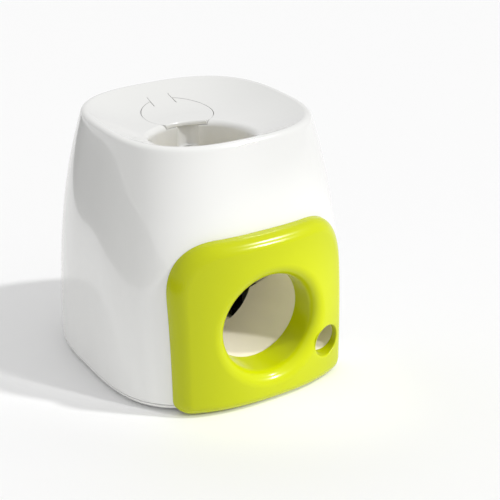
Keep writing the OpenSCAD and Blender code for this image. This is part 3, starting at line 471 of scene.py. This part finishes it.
def panelRings():
    # from the back edge over the rounded edge and across the face to the outlet's lip, down the
    # bore, and back along the inside
    p = panel
    edge, lip, oz, r = p["edge"], p["lip"], p["outletZ"], p["outletRadius"]
    edgeX, edgeZ = panelOutline(0)
    t = np.arctan2(edgeZ - oz, edgeX)

    def edgeRing(e, depth):
        # set in by e and back by the depth, but never into the housing
        x, z = panelOutline(e)
        return ringOf(x, -np.maximum(panelY(x, z) - depth, bodyY(x, z) + p["gap"]), z)

    def backRing(e):
        # set in by e, just clear of the housing
        x, z = panelOutline(e)
        return ringOf(x, -(bodyY(x, z) + p["gap"]), z)

    def faceRing(e, radius, share, depth):
        # between the outline and a circle round the outlet, back from the face by the depth
        x, z = panelOutline(e)
        x, z = mix(x, radius * np.cos(t), share), mix(z, oz + radius * np.sin(t), share)
        return ringOf(x, -(panelY(x, z) - depth), z)

    def boreRing(radius, forward):
        # circle round the outlet
        return ringOf(radius * np.cos(t), -forward, oz + radius * np.sin(t))

    rings = [backRing(0)]
    rings += [edgeRing(edge * (1 - math.cos(a)), edge * (1 - math.sin(a)))
              for a in quarter(p["edgeRings"])[:-1]]
    rings += [faceRing(edge, r + lip, share, 0) for share in np.linspace(0, 1, p["faceRings"])]
    rings += [faceRing(edge, r + lip * (1 - math.sin(a)), 1, lip * (1 - math.cos(a)))
              for a in quarter(p["lipRings"])[1:]]
    front = -rings[-1][:, 1]
    rings += [boreRing(mix(r, r - p["taper"], share), mix(front, p["collarEnd"], share))
              for share in np.linspace(0, 1, p["boreRings"])[1:]]
    rings += [boreRing(r + p["collarWall"], forward) for forward in (p["collarEnd"], p["collarFront"])]
    rings += [faceRing(edge + p["backInset"], r + lip + p["backLip"], share, p["wall"])
              for share in np.linspace(1, 0, p["backRings"])]
    rings += [edgeRing(p["wall"], edge - p["backEdge"]), backRing(p["wall"])]
    return rings


def makePanel():
    # the panel's skin, less the place of the treat outlet's lip
    q = treat
    obj = addMesh("frontPanel", [ringMesh(panelRings())], panel["angle"])
    carve(obj, [rod((q["x"], q["cutFront"], q["z"]), (q["x"], q["cutBack"], q["z"]),
                    q["radius"] + q["lip"], q["around"])], panel["angle"])
    return obj


def makeTreatLip():
    # rounded lip on the panel's face and a collar back to the housing, as circles round the outlet
    q = treat
    t = circle(q["around"])

    def lipRing(radius, depth):
        # back from the panel's face by the depth
        x, z = q["x"] + radius * np.cos(t), q["z"] + radius * np.sin(t)
        return ringOf(x, -(panelY(x, z) - depth), z)

    back = float(bodyY(q["x"], q["z"])) + panel["gap"]
    rings = [lipRing(q["radius"] + q["collar"], q["collarDrop"]), lipRing(q["radius"] + q["lip"], 0)]
    rings += [lipRing(q["radius"] + q["lip"] * (1 - math.sin(a)), q["lip"] * (1 - math.cos(a)))
              for a in quarter(q["lipRings"])[1:]]
    rings += [ringOf(q["x"] + radius * np.cos(t), -back, q["z"] + radius * np.sin(t))
              for radius in (q["radius"], q["radius"] + q["collar"])]
    return addMesh("treatLip", [ringMesh(rings)], panel["angle"])


chute = dict(
    end=-18.0, lineEnd=-20.0, rise=3.0, radius=34.8, wall=1.6, gap=0.2, around=240, rings=40,
    wallEnd=-30.0, floorTop=28.0, slantTop=49.5, slant=0.85, cutHigh=140.0, cutHalf=70.0)
post = dict(besideInlet=[-14, 18], y=-44.0, low=4.0, high=29.0, radius=4.0, boreGap=0.8, around=48)


def chuteLine(share):
    # middle of the tube: sideways to the inlet and up by the rise, from outlet to line's end
    return inlet["x"] * share, panel["outletZ"] + chute["rise"] * share


def makeChute():
    # tube of circles round its line, less the inlet's shaft and all above the floor behind the
    # walls, which end before the floor does, under a slanted top edge
    p = chute
    t = circle(p["around"])

    def chuteRing(y, radius):
        # the share of the line that lies in front of y
        x, z = chuteLine((panel["collarEnd"] + y) / (panel["collarEnd"] + p["lineEnd"]))
        return ringOf(x + radius * np.cos(t), y, z + radius * np.sin(t))

    ys = np.linspace(-panel["collarEnd"] + p["gap"], p["end"], p["rings"])
    rings = [chuteRing(y, p["radius"]) for y in ys]
    rings += [chuteRing(y, p["radius"] + p["wall"]) for y in ys[::-1]]
    obj = addMesh("ballChute", [ringMesh(rings, flip=True)])
    front, top = inlet["y"] - inlet["radius"], p["cutHigh"]
    slantEnd = p["slantTop"] + p["slant"] * (p["wallEnd"] - front)
    y = np.array([p["wallEnd"], 0, 0, front, front, p["wallEnd"]])
    z = np.array([p["floorTop"], p["floorTop"], top, top, slantEnd, p["slantTop"]])
    carve(obj, [rod((inlet["x"], inlet["y"], panel["outletZ"]), (inlet["x"], inlet["y"], top),
                    inlet["radius"], p["around"]),
                sideways(y, z, p["cutHalf"])])
    return obj


def makePosts():
    # two posts on the base that carry the tube, hollowed where it lies on them
    p = post
    obj = addMesh("chutePosts", [rod((inlet["x"] + dx, p["y"], p["low"]), (inlet["x"] + dx, p["y"], p["high"]),
                                     p["radius"], p["around"]) for dx in p["besideInlet"]])
    (x0, z0), (x1, z1) = chuteLine(0), chuteLine(1)
    carve(obj, [rod((x0, -panel["collarEnd"], z0), (x1, chute["lineEnd"], z1),
                    chute["radius"] + p["boreGap"], chute["around"])])
    return obj


housingBody, scoopWall, inletCollar = makeShell(), makeScoop(), makeCollar()
print("housing made:", len(housingBody.data.polygons), "faces")
treatLid, lidKnuckle = makeLid(), makeKnuckle()
print("lid made")
basePlate = makeBase()
print("base made")
frontPanel, treatLip = makePanel(), makeTreatLip()
print("panel made:", len(frontPanel.data.polygons), "faces")
ballChute, chutePosts = makeChute(), makePosts()
print("chute made")


def addNode(tree, kind, inputs=None, **settings):
    # a shader node with its settings and the values of its own sockets
    node = tree.nodes.new(kind)
    for key, value in settings.items():
        setattr(node, key, value)
    for key, value in (inputs or {}).items():
        node.inputs[key].default_value = value
    return node


skinNoise = dict(                                   # scales are per metre
    cloud={"Scale": 22.0, "Detail": 3.0, "Roughness": 0.5},
    rub={"Scale": 90.0, "Detail": 5.0, "Roughness": 0.6},
    grain={"Detail": 2.0, "Roughness": 0.5})        # its scale comes from the finish


def skinGroup():
    # moulded skin: a slow drift of tint and gloss about their values, and a fine grain for height
    tree = bpy.data.node_groups.new("mouldedSkin", "ShaderNodeTree")
    for name, way, kind in [
            ("Colour", "INPUT", "Color"), ("Tint Drift", "INPUT", "Float"), ("Gloss", "INPUT", "Float"),
            ("Gloss Drift", "INPUT", "Float"), ("Grain Size", "INPUT", "Float"),
            ("Colour", "OUTPUT", "Color"), ("Roughness", "OUTPUT", "Float"), ("Height", "OUTPUT", "Float")]:
        tree.interface.new_socket(name=name, in_out=way, socket_type="NodeSocket" + kind)
    link = tree.links.new
    start, end = tree.nodes.new("NodeGroupInput"), tree.nodes.new("NodeGroupOutput")
    place = addNode(tree, "ShaderNodeTexCoord")
    cloud, rub, grain = [addNode(tree, "ShaderNodeTexNoise", values) for values in skinNoise.values()]
    for tex in (cloud, rub, grain):
        link(place.outputs["Object"], tex.inputs["Vector"])
    # the grain's scale is a thousand over its size in millimetres
    size = addNode(tree, "ShaderNodeMath", {0: 1000.0}, operation="DIVIDE")
    link(start.outputs["Grain Size"], size.inputs[1])
    link(size.outputs[0], grain.inputs["Scale"])
    # colour times one plus the drift times the cloud's departure from its middle
    drift = addNode(tree, "ShaderNodeMath", {1: 0.5}, operation="SUBTRACT")
    link(cloud.outputs["Fac"], drift.inputs[0])
    amount = addNode(tree, "ShaderNodeMath", {2: 1.0}, operation="MULTIPLY_ADD")
    link(drift.outputs[0], amount.inputs[0])
    link(start.outputs["Tint Drift"], amount.inputs[1])
    tint = addNode(tree, "ShaderNodeVectorMath", operation="SCALE")
    link(start.outputs["Colour"], tint.inputs[0])
    link(amount.outputs[0], tint.inputs["Scale"])
    link(tint.outputs[0], end.inputs["Colour"])
    # gloss plus its drift times the rubbing's departure from its middle
    away = addNode(tree, "ShaderNodeMath", {1: 0.5}, operation="SUBTRACT")
    link(rub.outputs["Fac"], away.inputs[0])
    gloss = addNode(tree, "ShaderNodeMath", operation="MULTIPLY_ADD", use_clamp=True)
    link(away.outputs[0], gloss.inputs[0])
    link(start.outputs["Gloss Drift"], gloss.inputs[1])
    link(start.outputs["Gloss"], gloss.inputs[2])
    link(gloss.outputs[0], end.inputs["Roughness"])
    link(grain.outputs["Fac"], end.inputs["Height"])
    return tree


mouldedSkin = skinGroup()
coatRoughness = 0.03

# grain is its size in millimetres, and depth is the height of its relief in metres
finishes = dict(
    white_gloss=dict(colour=(0.80, 0.80, 0.782), gloss=0.2, tintDrift=0.02, glossDrift=0.06,
                     grain=6.0, depth=0.00002, coat=0.8),
    lime_gloss=dict(colour=(0.47, 0.515, 0.001), gloss=0.2, tintDrift=0.04, glossDrift=0.06,
                    grain=6.0, depth=0.00002, specular=0.3),
    cream_plastic=dict(colour=(0.82, 0.77, 0.64), gloss=0.42, tintDrift=0.04, glossDrift=0.1,
                       grain=0.8, depth=0.00001),
    acetal=dict(colour=(0.74, 0.73, 0.68), gloss=0.38, tintDrift=0.04, grain=0.6, depth=0.00001),
    # near black: on the paddle wheel inside the housing this is painted shade, standing for the unlit space
    # seen through the outlet
    dark_plastic=dict(colour=(0.03, 0.03, 0.03), gloss=0.45, tintDrift=0.1, grain=0.5, depth=0.00002),
    steel=dict(colour=(0.6, 0.6, 0.61), gloss=0.28, tintDrift=0.1, glossDrift=0.15,
               grain=0.3, depth=0.000004, metal=1.0),
    bush_brass=dict(colour=(0.72, 0.52, 0.24), gloss=0.3, tintDrift=0.1, glossDrift=0.15,
                    grain=0.4, depth=0.000005, metal=1.0),
    screw_metal=dict(colour=(0.5, 0.51, 0.52), gloss=0.35, tintDrift=0.15, glossDrift=0.2,
                     grain=0.3, depth=0.000005, metal=1.0),
    foot_rubber=dict(colour=(0.035, 0.035, 0.035), gloss=0.7, tintDrift=0.2, grain=0.4, depth=0.00004),
)


def makeFinish(name, colour, gloss, tintDrift, grain, depth, glossDrift=0.08, coat=0.0, metal=0.0,
               specular=0.5):
    # the moulded skin's colour, roughness and relief on a shader with its own plain values
    mat = bpy.data.materials.new(name)
    mat.use_nodes = True
    tree = mat.node_tree
    shader = tree.nodes["Principled BSDF"]
    skin = addNode(tree, "ShaderNodeGroup", node_tree=mouldedSkin)
    for key, value in {"Colour": (*colour, 1.0), "Tint Drift": tintDrift, "Gloss": gloss,
                       "Gloss Drift": glossDrift, "Grain Size": grain}.items():
        skin.inputs[key].default_value = value
    bump = addNode(tree, "ShaderNodeBump", {"Strength": 1.0, "Distance": depth})
    tree.links.new(skin.outputs["Colour"], shader.inputs["Base Color"])
    tree.links.new(skin.outputs["Roughness"], shader.inputs["Roughness"])
    tree.links.new(skin.outputs["Height"], bump.inputs["Height"])
    tree.links.new(bump.outputs["Normal"], shader.inputs["Normal"])
    for key, value in {"Metallic": metal, "Coat Weight": coat, "Coat Roughness": coatRoughness,
                       "Specular IOR Level": specular}.items():
        shader.inputs[key].default_value = value
    return mat


materials = {name: makeFinish(name, **values) for name, values in finishes.items()}

for part in frame["record"]["subparts"]:
    mesh = nodes[part["node"]].data
    mesh.materials.clear()
    mesh.materials.append(materials[part["material_slot"]])

replacements = [
    (housingBody, "housing", "white_gloss", ["housing_shell"]),
    (scoopWall, "housing", "white_gloss", []),
    (inletCollar, "housing", "white_gloss", ["inlet_collar"]),
    (treatLid, "lid", "white_gloss", ["treat_lid"]),
    (lidKnuckle, "lid", "white_gloss", []),
    (basePlate, "housing", "white_gloss", ["base_plate"]),
    (frontPanel, "housing", "lime_gloss", ["front_panel"]),
    (treatLip, "housing", "lime_gloss", []),
    (ballChute, "housing", "cream_plastic", ["ball_chute"]),
    (chutePosts, "housing", "cream_plastic", []),
]
for piece, body, slotName, hidden in replacements:
    piece.data.materials.clear()
    piece.data.materials.append(materials[slotName])
    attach(piece, body)
    if hidden:
        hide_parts(*hidden)
print("materials set")

# From here on sizes are metres. The dark flag lies out of view at the left, where the paper ends,
# for the housing's gloss to mirror.
stage = dict(
    floor=dict(grey=0.92, corners=[(-6, -6, 0), (6, -6, 0), (6, 6, 0), (-6, 6, 0)]),
    flag=dict(grey=0.1, corners=[(-0.55, -0.53, 0.0005), (0.0, 1.17, 0.0005), (-3.0, 2.6, 0.0005),
                                 (-3.0, -0.53, 0.0005)]))
paperRoughness = 0.7
worldStrength = 0.74
lamps = dict(                                       # size is the angle of the sun or of the spot
    keyLamp=dict(kind="SUN", at=(0.489, -0.396, 0.777), target=(0, 0, 0), power=1.3, size=3.0),
    panelSpot=dict(kind="SPOT", at=(0.57, -0.94, 0.69), target=(0.016, -0.09, 0.052), power=62.0,
                   size=7.0),
    bodySpot=dict(kind="SPOT", at=(0.555, -0.995, 0.85), target=(-0.045, -0.075, 0.14), power=20.0,
                  size=6.4),
)
spot = dict(blend=0.9, radius=0.05)
shot = dict(place=(-0.40419, -0.71238, 0.45553), forward=(0.48014, 0.76955, -0.42102),
            right=(0.84841, -0.52935, 0.0), up=(0.22286, 0.35719, 0.90705), lens=90.72, sensor=36.0)


def stageSheet(name, corners, grey):
    # flat sheet of matt grey paper
    mesh = bpy.data.meshes.new(name)
    mesh.from_pydata(corners, [], [(0, 1, 2, 3)])
    obj = bpy.data.objects.new(name, mesh)
    bpy.context.scene.collection.objects.link(obj)
    mat = bpy.data.materials.new(name + "Paper")
    mat.use_nodes = True
    shader = mat.node_tree.nodes["Principled BSDF"]
    shader.inputs["Base Color"].default_value = (grey, grey, grey, 1)
    shader.inputs["Roughness"].default_value = paperRoughness
    mesh.materials.append(mat)


def setAxes(obj, right, up, back, place):
    # the object's own axes as the columns of its matrix, and its place as the last one
    obj.matrix_world = Matrix([[right[i], up[i], back[i], place[i]] for i in range(3)] + [[0, 0, 0, 1]])


def addLamp(name, kind, at, target, power, size):
    # looks from its place at its target, with its own x axis level
    data = bpy.data.lights.new(name, kind)
    data.energy = power
    if kind == "SUN":
        data.angle = math.radians(size)
    else:
        data.spot_size = math.radians(size)
        data.spot_blend, data.shadow_soft_size = spot["blend"], spot["radius"]
    obj = bpy.data.objects.new(name, data)
    bpy.context.scene.collection.objects.link(obj)
    back = np.array(at, float) - np.array(target, float)
    back /= np.linalg.norm(back)
    right = np.cross([0, 0, 1.0], back)
    right /= np.linalg.norm(right)
    setAxes(obj, right, np.cross(back, right), back, at)


for name, values in stage.items():
    stageSheet(name, **values)
for name, values in lamps.items():
    addLamp(name, **values)

world = bpy.data.worlds.new("studio")
world.use_nodes = True
world.node_tree.nodes["Background"].inputs["Color"].default_value = (1, 1, 1, 1)
world.node_tree.nodes["Background"].inputs["Strength"].default_value = worldStrength
scene = bpy.context.scene
scene.world = world
scene.view_settings.view_transform = "Standard"

camData = bpy.data.cameras.new("camera")
camData.lens, camData.sensor_width, camData.sensor_fit = shot["lens"], shot["sensor"], "HORIZONTAL"
camera = bpy.data.objects.new("camera", camData)
scene.collection.objects.link(camera)
setAxes(camera, shot["right"], shot["up"], [-v for v in shot["forward"]], shot["place"])
scene.camera = camera
print("scene lit")
